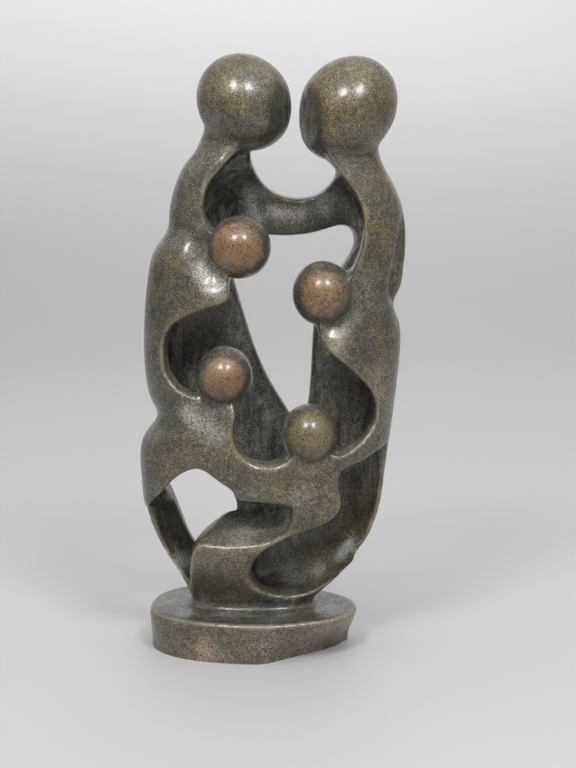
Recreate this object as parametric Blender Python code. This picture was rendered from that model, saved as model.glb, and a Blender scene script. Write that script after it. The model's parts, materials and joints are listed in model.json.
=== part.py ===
"""An abstract family group, carved from one block of polished stone.

Two parents lean together over a ring of four children. The carving is a thick
walled barrel, pierced in front and behind, that stands on an oval plinth of the
same stone. +X is the viewer's right, +Y is away from the viewer and +Z is up.
The origin is the middle of the plinth's underside.

The plinth, the walls and the edges have sizes of their own. The free form above
the plinth is drawn in hundredths of the figure's height, measured across from
the origin, back from the middle plane and up from the plinth's top.
"""

import math

import bmesh
import bpy
import numpy as np
from mathutils import Matrix, Vector

# Driving sizes, in metres.
FIGURE_HEIGHT = 0.284  # plinth's top to the taller parent's crown
PLINTH_WIDTH = 0.109
PLINTH_DEPTH = 0.079
PLINTH_HEIGHT = 0.021
PLINTH_NARROWING = 0.14  # how much less deep the oval is at its right end, as a share
PLINTH_TURN = -8.0  # degrees, the oval's turn about the upright axis
PLINTH_TAPER = 0.0015  # how far the underside stands in from the top's rim
PLINTH_CUT = 0.0150  # how deep the straight cut at the underside's front right is
CUT_HEADING = -50.0  # degrees, the way that the cut side faces
SIDE_WALL = 0.0088  # stone left beside the hollow, at the figure's flanks
BACK_WALL = 0.0110  # stone left behind the hollow
EDGE_SOFTNESS = 7  # passes that ease the carved edges
GRAIN = 0.0011  # the fineness at which the carving is read
FACES_KEPT = 0.030  # share of the fine faces that the solid keeps

UNIT = FIGURE_HEIGHT / 100
FAR = 60  # hundredths, past every side of the figure

# The barrel's outlines as (height, distance) pairs, in hundredths.
LEFT_FLANK = (
    (-4, -12.6), (0, -11.8), (1.2, -11.2), (3.4, -12.3), (6.3, -14.1), (9.7, -16.6),
    (13.9, -18.6), (18.6, -20.0), (23.3, -20.3), (27.9, -20.6), (31.4, -20.3),
    (35.5, -19.4), (40.9, -19.2), (45.4, -19.6), (50.9, -19.6), (56.3, -19.3),
    (61.7, -18.6), (65.0, -17.9), (69.2, -16.3), (73.4, -14.8), (76.9, -13.8),
    (80.4, -12.2), (83.1, -10.0), (87, -8.4),
)
RIGHT_FLANK = (
    (-4, 12.2), (0, 11.2), (0.9, 10.5), (2.1, 11.8), (3.8, 13.6), (6.3, 16.4),
    (9.1, 19.2), (12.0, 21.1), (15.8, 22.6), (19.5, 23.6), (27.0, 24.3), (32.6, 24.9),
    (41.8, 26.0), (47.3, 26.5), (55.4, 26.7), (62.6, 27.2), (66.2, 27.5), (69.8, 27.4),
    (73.4, 26.6), (76.9, 25.2), (80.4, 23.2), (83.1, 22.3), (87, 22.2),
)
LEFT_NOTCHES = ((35.5, 2.2, 2.9), (69.2, 1.3, 2.6))  # height, depth, spread
RIGHT_NOTCHES = ((55.4, 1.5, 2.3),)
FRONT_BULGE = (
    (-4, 7.4), (0, 6.2), (1.4, 5.6), (4, 7.2), (8, 9.4), (13, 10.8), (20, 11.6),
    (40, 12.0), (60, 11.8), (70, 11.2), (78, 10.0), (84, 8.0), (87, 7.4),
)
BACK_BULGE = (
    (-4, 7.6), (0, 6.4), (1.4, 5.9), (4, 7.4), (8, 9.4), (13, 10.6), (20, 11.2),
    (40, 11.8), (60, 11.6), (70, 11.0), (78, 9.8), (84, 7.8), (87, 7.2),
)
HOLLOW_FRONT = ((5, 0.4), (16, 1.0), (22, 3.0), (28, 6.0), (70, 5.6), (80, 4.0))
BOWL_LEFT = ((3, -1.6), (8, -1.2), (12, 0.6), (16, 1.2), (31, 1.2))
BARREL_ROUNDNESS = 2.4  # exponent of the plan's oval: 2 is an ellipse
HOLLOW_FLOOR, HOLLOW_CEILING = 4.5, 80.0
RIM_WALL = 0.0026  # stone left outside the dished rims of the two lower openings


def smooth_value(pairs, at):
    """Reads a smooth curve through (position, value) pairs at one position."""
    marks = [p[0] for p in pairs]
    i = min(max(int(np.searchsorted(marks, at)) - 1, 0), len(pairs) - 2)
    low, high = pairs[i], pairs[i + 1]
    before = pairs[max(i - 1, 0)]
    after = pairs[min(i + 2, len(pairs) - 1)]
    span = high[0] - low[0]
    t = min(max((at - low[0]) / span, 0.0), 1.0)
    rise_in = (high[1] - before[1]) / (high[0] - before[0]) * span
    rise_out = (after[1] - low[1]) / (after[0] - low[0]) * span
    return (
        (2 * t**3 - 3 * t**2 + 1) * low[1]
        + (t**3 - 2 * t**2 + t) * rise_in
        + (3 * t**2 - 2 * t**3) * high[1]
        + (t**3 - t**2) * rise_out
    )


def smooth_loop(points, steps=5):
    """A smooth closed curve through the points, as a list of tuples."""
    loop = []
    count = len(points)
    for i in range(count):
        a, b, c, d = (Vector(points[(i + k) % count]) for k in (-1, 0, 1, 2))
        for s in range(steps):
            t = s / steps
            loop.append(
                0.5 * (2 * b + (c - a) * t + (2 * a - 5 * b + 4 * c - d) * t**2
                       + (3 * b - a - 3 * c + d) * t**3)
            )
    return loop


def oval(half_width, half_depth, exponent, angle):
    """A point of a squared oval in plan, at an angle in radians."""
    across, along = math.cos(angle), math.sin(angle)
    x = math.copysign(abs(across) ** (2 / exponent), across) * half_width
    y = math.copysign(abs(along) ** (2 / exponent), along) * half_depth
    return x, y


def collection(name):
    """A collection whose objects are tools, seen as wire and never rendered."""
    made = bpy.data.collections.new(name)
    bpy.context.scene.collection.children.link(made)
    made.hide_render = True
    return made


def loft(name, rings, home):
    """A closed solid through rings of equal point counts, flat at both ends."""
    bm = bmesh.new()
    rows = [[bm.verts.new(p) for p in ring] for ring in rings]
    for low, high in zip(rows, rows[1:]):
        for i in range(len(low)):
            j = (i + 1) % len(low)
            bm.faces.new((low[i], low[j], high[j], high[i]))
    for end in (rows[0], rows[-1]):
        bmesh.ops.triangle_fill(
            bm, edges=[bm.edges.get((end[i], end[i - 1])) for i in range(len(end))],
            use_beauty=True,
        )
    bmesh.ops.recalc_face_normals(bm, faces=bm.faces)
    return keep(name, bm, home)


def keep(name, bm, home):
    """Turns a bmesh into an object of the collection."""
    mesh = bpy.data.meshes.new(name)
    bm.to_mesh(mesh)
    bm.free()
    made = bpy.data.objects.new(name, mesh)
    home.objects.link(made)
    if home.hide_render:
        made.hide_render = True
        made.display_type = "WIRE"
    return made


def at(x, y, z):
    """A place on the figure, from hundredths to metres above the ground."""
    return Vector((x * UNIT, y * UNIT, z * UNIT + PLINTH_HEIGHT))


def notch(notches, z, angle):
    """How deep the flank's valleys are at a height; they fade to front and back."""
    fade = min(max((abs(math.cos(angle)) - 0.5) / 0.36, 0.0), 1.0)
    deep = sum(depth * math.exp(-(((z - level) / spread) ** 2)) for level, depth, spread in notches)
    return deep * fade * fade * (3 - 2 * fade)


def barrel(home, sides=72, step=1.0):
    """The block as first roughed out: the figure's whole outer surface."""
    rings = []
    for z in np.arange(LEFT_FLANK[0][0], LEFT_FLANK[-1][0] + step / 2, step):
        left, right = smooth_value(LEFT_FLANK, z), smooth_value(RIGHT_FLANK, z)
        front, back = smooth_value(FRONT_BULGE, z), smooth_value(BACK_BULGE, z)
        ring = []
        for k in range(sides):
            angle = math.tau * k / sides
            depth = back if math.sin(angle) > 0 else front
            x, y = oval((right - left) / 2, depth, BARREL_ROUNDNESS, angle)
            if x > 0:
                x -= notch(RIGHT_NOTCHES, z, angle)
            else:
                x += notch(LEFT_NOTCHES, z, angle)
            ring.append(at((left + right) / 2 + x, y, z))
        rings.append(ring)
    return loft("family_group", rings, home)


def chamber(name, floor, ceiling, left, right, front, back, home, sides=56, levels=36):
    """A room inside the stone, closed at its floor and ceiling by domes.

    The last four sizes are functions of the height, in hundredths.
    """
    middle, reach = (floor + ceiling) / 2, (ceiling - floor) / 2
    rings = []
    for level in range(levels + 1):
        slope = math.pi * (level + 0.15) / (levels + 0.3)
        z = middle - reach * math.cos(slope)
        swell = math.sin(slope) ** 0.35
        ring = []
        for k in range(sides):
            angle = math.tau * k / sides
            depth = back(z) if math.sin(angle) > 0 else front(z)
            half = (right(z) - left(z)) / 2
            x, y = oval(half * swell, depth * swell, BARREL_ROUNDNESS, angle)
            ring.append(at((left(z) + right(z)) / 2 + x, y, z))
        rings.append(ring)
    return loft(name, rings, home)


def carve_chambers(home):
    """The barrel's hollow, and the dished rims of the two lower openings."""
    side, rear, rim = SIDE_WALL / UNIT, BACK_WALL / UNIT, RIM_WALL / UNIT
    chamber(
        "hollow", HOLLOW_FLOOR, HOLLOW_CEILING,
        lambda z: smooth_value(LEFT_FLANK, z) + side,
        lambda z: smooth_value(RIGHT_FLANK, z) - side,
        lambda z: smooth_value(HOLLOW_FRONT, z),
        lambda z: smooth_value(BACK_BULGE, z) - rear, home,
    )
    chamber(
        "left_rim", 1.5, 19.5,
        lambda z: smooth_value(LEFT_FLANK, z) + rim, lambda z: -5.0,
        lambda z: 1.0, lambda z: 4.6, home,
    )
    chamber(
        "right_rim", 2.6, 33.0,
        lambda z: 1.0, lambda z: smooth_value(RIGHT_FLANK, z) - rim,
        lambda z: 1.0, lambda z: 5.0, home,
    )
    chamber(
        "right_bowl", 3.3, 31.0,
        lambda z: smooth_value(BOWL_LEFT, z),
        lambda z: smooth_value(RIGHT_FLANK, z) - 1.8 * rim,
        lambda z: 4.0, lambda z: 6.2, home,
    )


def window(name, outline, rungs, home, dishing=0.0):
    """A cutter through a wall: a smooth outline carried back through the stone.

    Each rung is a (depth, width) pair. The outline's width is scaled about its own
    middle, which slants the opening's side walls. Dishing is how much shallower the
    last rung is at the outline's top and bottom.
    """
    loop = smooth_loop(outline)
    middle = sum(p[0] for p in outline) / len(outline)
    low, high = min(p.y for p in loop), max(p.y for p in loop)
    rings = []
    for y, width in rungs:
        rise = dishing if y == rungs[-1][0] else 0.0
        rings.append([
            at(
                middle + (p.x - middle) * width,
                y - rise * ((2 * p.y - low - high) / (high - low)) ** 2,
                p.y,
            )
            for p in loop
        ])
    return loft(name, rings, home)


def egg(name, middle, radii, home, tilt=(0.0, 0.0, 0.0), flat=None, rings=24):
    """An egg of stone: a ball stretched to three radii and turned.

    The flat is a (heading, reach) pair: an upright face, its heading in degrees and
    its distance from the egg's middle in hundredths.
    """
    bm = bmesh.new()
    turn = Matrix.Rotation(math.radians(tilt[2]), 4, "Z") @ Matrix.Rotation(
        math.radians(tilt[1]), 4, "Y") @ Matrix.Rotation(math.radians(tilt[0]), 4, "X")
    sizes = Matrix.Diagonal((*(r * UNIT for r in radii), 1.0))
    bmesh.ops.create_uvsphere(
        bm, u_segments=rings * 2, v_segments=rings, radius=1.0,
        matrix=Matrix.Translation(at(*middle)) @ turn @ sizes,
    )
    if flat:
        heading, reach = math.radians(flat[0]), flat[1] * UNIT
        facing = Vector((math.cos(heading), math.sin(heading), 0))
        for vert in bm.verts:
            over = (vert.co - at(*middle)).dot(facing) - reach
            if over > 0:
                vert.co -= facing * over
    return keep(name, bm, home)


def carve_hollows(home):
    """Everything that is cut away from the barrel."""
    carve_chambers(home)
    window(
        "between_parents",
        ((-1.5, 92), (-0.6, 86), (-0.5, 82.6), (0.0, 79.9), (1.6, 76.9), (3.9, 74.9),
         (6.7, 74.0), (9.4, 74.0), (12.1, 74.9), (14.3, 77.1), (15.0, 79.2), (13.5, 80.8),
         (12.1, 82.4), (11.6, 86), (11.4, 93), (5, 95)),
        ((-20, 1), (FAR / 2, 1)), home,
    )
    window(
        "embrace",
        ((-2.4, 86.1), (-2.5, 83.5), (-5.1, 80.5), (-7.4, 77.7), (-8.3, 74.6),
         (-8.1, 72.3), (-6.5, 69.2), (-4.6, 65.9), (-2.8, 63.1), (-0.3, 58.0),
         (6.6, 55.0), (11.2, 56.2), (15.0, 59.6), (17.8, 63.7), (19.1, 66.8),
         (19.5, 71.6), (18.3, 75.5), (16.3, 78.3), (14.6, 80.5), (12.9, 83.2),
         (12.2, 88), (11, 95), (-1, 95)),
        ((-20, 1), (0.5, 1)), home,
    )
    window(
        "left_scoop",
        ((-3.3, 62.0), (-3.7, 59.4), (-4.0, 57.7), (-5.3, 57.0), (-8.6, 55.9),
         (-12.3, 54.3), (-14.7, 52.7), (-16.0, 50.4), (-16.4, 47.9), (-15.9, 44.6),
         (-13.7, 42.1), (-11.2, 41.1), (-6.5, 40.6), (-3.1, 40.3), (-2.6, 37.6),
         (-3.3, 34.9), (-2.7, 31.4), (-0.4, 29.1), (2.8, 28.3), (5.4, 29.2),
         (8.0, 33.2), (9.4, 44), (9.6, 56), (3, 63)),
        ((-20, 1.03), (-11.5, 1), (0, 0.84)), home,
    )
    window(
        "right_scoop",
        ((11.0, 56), (10.9, 53.4), (11.2, 52.0), (12.0, 50.6), (14.3, 47.9),
         (17.8, 44.8), (20.7, 41.7), (22.0, 39.2), (22.1, 36.3), (20.7, 33.5),
         (18.2, 31.4), (15.7, 30.5), (12.8, 30.9), (8.4, 31.7), (6.7, 36.8),
         (7.0, 45.7), (8.2, 56)),
        ((-20, 1.02), (-11.5, 1), (0, 0.9)), home,
    )
    window(
        "left_gap",
        ((-26, 18.6), (-20.6, 17.3), (-17.5, 20.8), (-15.0, 24.2), (-12.8, 26.3),
         (-10.1, 27.6), (-8.3, 27.1), (-5.8, 25.2), (-3.4, 23.5), (-2.9, 20.3),
         (-5.2, 17.6), (-7.9, 15.5), (-10.5, 12.7), (-11.3, 9.4), (-11.6, 6.0),
         (-12.5, 2.0), (-22, 2.0)),
        ((-20, 1), (1.2, 1)), home, dishing=3.5,
    )
    window(
        "right_gap",
        ((28, 31), (23.9, 30.6), (21.3, 29.3), (18.7, 28.2), (16.4, 27.4), (15.3, 26.3),
         (15.2, 24.5), (15.7, 22.2), (15.7, 20.4), (14.7, 18.6), (12.0, 17.1), (8.4, 15.8),
         (4.9, 14.3), (2.2, 12.7), (0.2, 10.4), (-0.5, 7.9), (0.0, 5.8), (1.6, 4.4),
         (4.0, 3.4), (6.7, 3.0), (10.3, 3.4), (13.8, 5.1),
         (16.5, 7.1), (18.8, 9.2), (22.6, 11.5), (28, 13)),
        ((-20, 1), (1.2, 1)), home, dishing=2.4,
    )
    window(
        "centre_hole",
        ((-3.8, 68.3), (1.6, 67.3), (6.7, 67.0), (10.3, 67.5), (13.6, 68.5), (15.9, 69.2),
         (17.7, 68.3), (18.3, 66.0), (17.4, 63.6), (15.5, 60.5), (12.6, 56), (11.1, 51.5),
         (10.7, 45.9), (10.4, 39.5), (9.8, 35.0), (8.5, 32.6), (7.1, 33.2), (5.5, 35.7),
         (2.8, 40.2), (0.3, 45.9), (-2.0, 53.3), (-3.8, 59.8), (-4.8, 64.5)),
        ((4, 1.08), (8, 1), (FAR / 2, 1)), home,
    )
    window(
        "lower_hole",
        ((-16.2, 22.5), (-15.4, 21.0), (-14.1, 17.4), (-12.4, 12.8), (-10.6, 9.7),
         (-7.9, 9.0), (-5.0, 10.5), (-3.2, 16.3), (-3.9, 18.8), (-4.9, 22), (-7, 26),
         (-11, 27.6), (-15, 26)),
        ((1, 1.05), (8, 1), (FAR / 2, 1)), home,
    )
    window(
        "side_slot",
        ((28, 73.4), (26.3, 71.5), (25.5, 68.9), (24.9, 65.0), (23.9, 60.5), (24.2, 57.6),
         (25.6, 55.6), (30, 55.6), (30, 73.4)),
        ((-20, 1), (0.4, 1)), home,
    )
    lap_notch(home)
    for name, middle, radii, *_ in HEADS[2:5]:
        x, y, z = middle
        egg(name + "_dish", (x, y - 11.5, z), (radii[0] + 2.8, 9.0, radii[2] + 2.8), home)
    for name, middle, radii, tilt in SWOOPS:
        egg(name, middle, radii, home, tilt)


def lap_notch(home):
    """The wedge between the ring's underside and the lap below it."""
    rings = []
    for x, ceiling, floor, front_floor, depth in (
        (-15.0, 22.4, 17.8, 12.5, -1.8), (-3.0, 22.2, 17.9, 13.0, -1.8),
        (3.0, 21.8, 18.2, 13.9, -2.5), (6.0, 21.4, 19.4, 16.0, -6.0),
        (7.2, 20.9, 20.0, 18.6, -9.0),
    ):
        rise = (floor - front_floor) / (11.0 + depth)
        rings.append([
            at(x, -FAR / 2, ceiling), at(x, depth, ceiling - 0.4), at(x, depth, floor),
            at(x, -11.0, front_floor), at(x, -FAR / 2, front_floor - rise * (FAR / 2 - 11)),
        ])
    return loft("lap_notch", rings, home)


HEADS = (
    ("first_parent_head", (-1.3, -1.0, 91.5), (8.1, 9.4, 9.0), (0, -42, -12), (-21, 7.15)),
    ("second_parent_head", (16.6, -1.0, 90.4), (8.35, 9.6, 9.9), (0, 40, 12), (-160, 7.05)),
    ("first_child_head", (-2.1, -6.6, 66.7), (5.5, 6.2, 5.4), (0, 12, 0), None),
    ("second_child_head", (12.4, -7.0, 58.6), (5.4, 6.2, 5.7), (0, -8, 0), None),
    ("third_child_head", (-5.1, -6.6, 43.9), (5.0, 6.0, 5.2), (0, 0, 0), None),
    ("fourth_child_head", (10.2, -6.6, 33.1), (4.9, 6.0, 5.5), (0, 0, 0), None),
    ("fourth_child_neck", (10.2, -5.4, 30.2), (4.9, 5.8, 5.0), (0, 0, 0), None),
)
SWOOPS = (
    ("first_swoop", (-7.6, -16.4, 61.6), (7.5, 5.9, 3.6), (0, 36, 0)),
    ("second_swoop", (14.6, -16.2, 53.4), (6.5, 5.6, 3.2), (0, -52, 0)),
    ("third_swoop", (-11.4, 16.4, 61.0), (9.5, 6.6, 3.4), (0, -68, 0)),
    ("fourth_swoop", (21.6, 16.2, 62.0), (9.5, 6.8, 3.4), (0, 72, 0)),
)


def add_masses(home):
    """What is left standing inside the cuts: heads, necks and the plinth."""
    for name, middle, radii, tilt, flat in HEADS:
        egg(name, middle, radii, home, tilt, flat)
    plinth(home)


def plinth(home, sides=96):
    """The oval foot: its side leans in towards the underside, most at the cut front right."""
    turn = Matrix.Rotation(math.radians(PLINTH_TURN), 2)
    heading = math.radians(CUT_HEADING)
    facing = Vector((math.cos(heading), math.sin(heading)))
    top = []
    for k in range(sides):
        angle = math.tau * k / sides
        x, y = oval(PLINTH_WIDTH / 2, PLINTH_DEPTH / 2, 2.4, angle)
        y *= 1 - PLINTH_NARROWING * max(math.cos(angle), 0)
        top.append(turn @ Vector((x, y)))
    reach = max(p.dot(facing) for p in top) - PLINTH_CUT
    rings = []
    for z, drawn_in in ((-0.004, 1.0), (0.003, 0.93), (PLINTH_HEIGHT, 0.0)):
        ring = []
        for p in top:
            over = max(p.dot(facing) - reach, 0.0)
            q = p - p.normalized() * PLINTH_TAPER * drawn_in - facing * over * drawn_in
            ring.append((q.x, q.y, z))
        rings.append(ring)
    return loft("plinth", rings, home)


def ground(home):
    """A block under the plinth that leaves its underside flat."""
    bm = bmesh.new()
    bmesh.ops.create_cube(bm, size=0.4, matrix=Matrix.Translation((0, 0, -0.2)))
    return keep("ground", bm, home)


def stone():
    """Polished serpentine: a dark olive green, warmed where it is handled."""
    made = bpy.data.materials.new("serpentine")
    made.use_nodes = True
    shader = made.node_tree.nodes["Principled BSDF"]
    shader.inputs["Base Color"].default_value = (0.105, 0.092, 0.060, 1.0)
    shader.inputs["Roughness"].default_value = 0.32
    shader.inputs["Metallic"].default_value = 0.0
    return made


def boolean(target, operation, tools):
    """One Boolean modifier that uses every object of a collection."""
    made = target.modifiers.new(tools.name, "BOOLEAN")
    made.operation = operation
    made.operand_type = "COLLECTION"
    made.collection = tools
    made.solver = "EXACT"


def main():
    """Builds the family group."""
    for old in list(bpy.data.objects):
        bpy.data.objects.remove(old)
    figure = barrel(bpy.context.scene.collection)
    figure.data.materials.append(stone())
    hollows, masses, floor = (collection(n) for n in ("hollows", "masses", "floor"))
    carve_hollows(hollows)
    add_masses(masses)
    ground(floor)
    boolean(figure, "DIFFERENCE", hollows)
    boolean(figure, "UNION", masses)
    remesh = figure.modifiers.new("read_form", "REMESH")
    remesh.mode = "VOXEL"
    remesh.voxel_size = GRAIN
    ease = figure.modifiers.new("ease_edges", "SMOOTH")
    ease.factor = 0.5
    ease.iterations = EDGE_SOFTNESS
    thin = figure.modifiers.new("facet", "DECIMATE")
    thin.ratio = FACES_KEPT
    boolean(figure, "DIFFERENCE", floor)


main()
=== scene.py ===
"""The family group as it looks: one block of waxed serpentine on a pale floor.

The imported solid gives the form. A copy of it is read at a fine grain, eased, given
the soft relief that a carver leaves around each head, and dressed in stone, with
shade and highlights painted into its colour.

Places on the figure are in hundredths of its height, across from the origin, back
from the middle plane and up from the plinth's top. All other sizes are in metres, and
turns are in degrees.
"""

from __future__ import annotations

import json
import logging
import math
from dataclasses import dataclass, field
from enum import Enum
from typing import Any

import bpy
import numpy as np
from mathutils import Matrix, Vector
from mathutils.bvhtree import BVHTree

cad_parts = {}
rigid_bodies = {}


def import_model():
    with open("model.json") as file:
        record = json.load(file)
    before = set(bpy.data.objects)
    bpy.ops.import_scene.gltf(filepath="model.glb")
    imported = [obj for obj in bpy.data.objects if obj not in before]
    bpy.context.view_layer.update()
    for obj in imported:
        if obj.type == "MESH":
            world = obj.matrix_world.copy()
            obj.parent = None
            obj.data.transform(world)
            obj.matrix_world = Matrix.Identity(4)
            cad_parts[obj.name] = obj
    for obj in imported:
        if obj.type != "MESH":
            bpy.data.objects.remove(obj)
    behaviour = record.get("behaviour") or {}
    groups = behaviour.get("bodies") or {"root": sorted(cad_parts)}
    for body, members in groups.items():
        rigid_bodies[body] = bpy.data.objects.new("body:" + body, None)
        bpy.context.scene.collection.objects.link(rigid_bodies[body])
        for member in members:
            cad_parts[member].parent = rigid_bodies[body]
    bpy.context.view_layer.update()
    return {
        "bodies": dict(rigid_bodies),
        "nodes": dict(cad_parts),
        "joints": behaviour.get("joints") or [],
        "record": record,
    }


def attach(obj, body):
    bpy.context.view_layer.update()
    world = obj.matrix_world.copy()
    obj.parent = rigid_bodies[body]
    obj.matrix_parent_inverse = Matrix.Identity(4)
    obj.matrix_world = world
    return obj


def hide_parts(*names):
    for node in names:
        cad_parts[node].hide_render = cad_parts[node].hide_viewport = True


log = logging.getLogger("family_group")

FIGURE_HEIGHT = 0.284
PLINTH_HEIGHT = 0.021
UNIT = FIGURE_HEIGHT / 100
PLINTH_TOP = np.array((0.0, 0.0, PLINTH_HEIGHT))
SHIFT_SHARES = (1.0, 0.7, 1.3)  # how a layer of noise is moved along each axis

Colour = tuple[float, float, float]
Triple = tuple[float, float, float]
Span = tuple[float, float]  # where something starts and where it is full
Blot = tuple[Triple, float, float]  # a middle and a reach in hundredths, and a strength


class Tint(Enum):
    """What colour the worn cap of a head has, if it has one."""

    NONE = "none"
    AMBER = "amber"
    HONEY = "honey"


class Side(Enum):
    """Which outer side of the figure a relief is cut into."""

    FRONT = -1
    BACK = 1


def ramp(values: np.ndarray, span: Span) -> np.ndarray:
    """Rises evenly from 0 at the span's start to 1 at its end, and stays there."""
    start, end = span
    return np.clip((values - start) / (end - start), 0, 1)


class Signal:
    """A number that changes over the surface, so that sums read as sums."""

    def __init__(self, bench: Bench, socket: bpy.types.NodeSocket) -> None:
        """Holds an output socket and the bench that it belongs to."""
        self.bench = bench
        self.socket = socket

    def _sum(self, operation: str, first: Any, second: Any) -> Signal:
        """One Math node on two values."""
        made = self.bench.node("ShaderNodeMath", {"operation": operation}, {0: first, 1: second})
        return Signal(self.bench, made.outputs[0])

    def __add__(self, other: Any) -> Signal:
        """self + other."""
        return self._sum("ADD", self, other)

    def __radd__(self, other: Any) -> Signal:
        """other + self."""
        return self._sum("ADD", other, self)

    def __sub__(self, other: Any) -> Signal:
        """self - other."""
        return self._sum("SUBTRACT", self, other)

    def __rsub__(self, other: Any) -> Signal:
        """other - self."""
        return self._sum("SUBTRACT", other, self)

    def __mul__(self, other: Any) -> Signal:
        """self * other."""
        return self._sum("MULTIPLY", self, other)

    def __rmul__(self, other: Any) -> Signal:
        """other * self."""
        return self._sum("MULTIPLY", other, self)

    def step(self, span: Span) -> Signal:
        """Eases from 0 at the span's start to 1 at its end.

        Args:
            span: the two values between which it changes.

        Returns:
            The eased signal.
        """
        made = self.bench.node(
            "ShaderNodeMapRange",
            {"interpolation_type": "SMOOTHSTEP"},
            {0: self, 1: span[0], 2: span[1], 3: 0.0, 4: 1.0},
        )
        return Signal(self.bench, made.outputs[0])

    def clamped(self) -> Signal:
        """Keeps the value between 0 and 1."""
        made = self.bench.node("ShaderNodeClamp", {}, {0: self, 1: 0.0, 2: 1.0})
        return Signal(self.bench, made.outputs[0])


@dataclass(frozen=True)
class Cloud:
    """A layer of cloudy noise that runs through the stone."""

    per_metre: float
    detail: float = 2.0
    rough: float = 0.5
    stretch: Triple = (1.0, 1.0, 1.0)
    shift: float = 0.0

    def place(self) -> Triple:
        """Where the layer starts, so that no two layers are alike."""
        return tuple(self.shift * share for share in SHIFT_SHARES)


class Bench:
    """The node tree of one material, or of the room's light, and the ways to add to it."""

    def __init__(self, owner: bpy.types.Material | bpy.types.World) -> None:
        """Opens the owner's nodes.

        Args:
            owner: a new material or world, which has its shader and its output.
        """
        self.owner = owner
        owner.use_nodes = True
        self.tree = owner.node_tree
        self.shader = next(n for n in self.tree.nodes if n.type in {"BSDF_PRINCIPLED", "BACKGROUND"})
        self.place = self.node("ShaderNodeTexCoord", {}, {}).outputs["Object"]

    def height(self) -> Signal:
        """How high up the surface is, or how far up the light comes from."""
        return Signal(self, self.node("ShaderNodeSeparateXYZ", {}, {0: self.place}).outputs[2])

    def feed(self, socket: bpy.types.NodeSocket, value: Any) -> None:
        """Links a signal or a socket into a socket, or sets its value.

        Args:
            socket: the input that gets it.
            value: a signal, a socket, a colour or a number.
        """
        if isinstance(value, Signal):
            self.tree.links.new(value.socket, socket)
        elif isinstance(value, bpy.types.NodeSocket):
            self.tree.links.new(value, socket)
        elif isinstance(value, tuple) and len(value) == 3 and socket.type == "RGBA":
            socket.default_value = (*value, 1.0)
        else:
            socket.default_value = value

    def node(self, kind: str, settings: dict[str, Any], values: dict[Any, Any]) -> bpy.types.Node:
        """Adds a node.

        Args:
            kind: the node's type name.
            settings: the node's own settings, set first.
            values: what goes into its sockets, by name or by number.

        Returns:
            The new node.
        """
        made = self.tree.nodes.new(kind)
        for key, value in settings.items():
            setattr(made, key, value)
        for key, value in values.items():
            self.feed(made.inputs[key], value)
        return made

    def noise(self, cloud: Cloud) -> Signal:
        """Lays a layer of noise through the stone.

        Args:
            cloud: the layer.

        Returns:
            The noise, from 0 to 1.
        """
        where = self.node(
            "ShaderNodeMapping", {},
            {"Vector": self.place, "Scale": cloud.stretch, "Location": cloud.place()},
        ).outputs[0]
        made = self.node(
            "ShaderNodeTexNoise", {},
            {"Vector": where, "Scale": cloud.per_metre, "Detail": cloud.detail,
             "Roughness": cloud.rough},
        )
        return Signal(self, made.outputs[0])

    def mask(self, name: str) -> Signal:
        """A value that was worked out on the mesh and kept under a name."""
        made = self.node("ShaderNodeAttribute", {"attribute_name": name}, {})
        return Signal(self, made.outputs["Fac"])

    def mix(self, share: Any, first: Any, second: Any) -> bpy.types.NodeSocket:
        """Mixes two colours.

        Args:
            share: how much of the second colour there is.
            first: a colour or a colour socket.
            second: a colour or a colour socket.

        Returns:
            The mixed colour's socket.
        """
        made = self.node("ShaderNodeMix", {"data_type": "RGBA"}, {0: share, 6: first, 7: second})
        return made.outputs[2]


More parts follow.
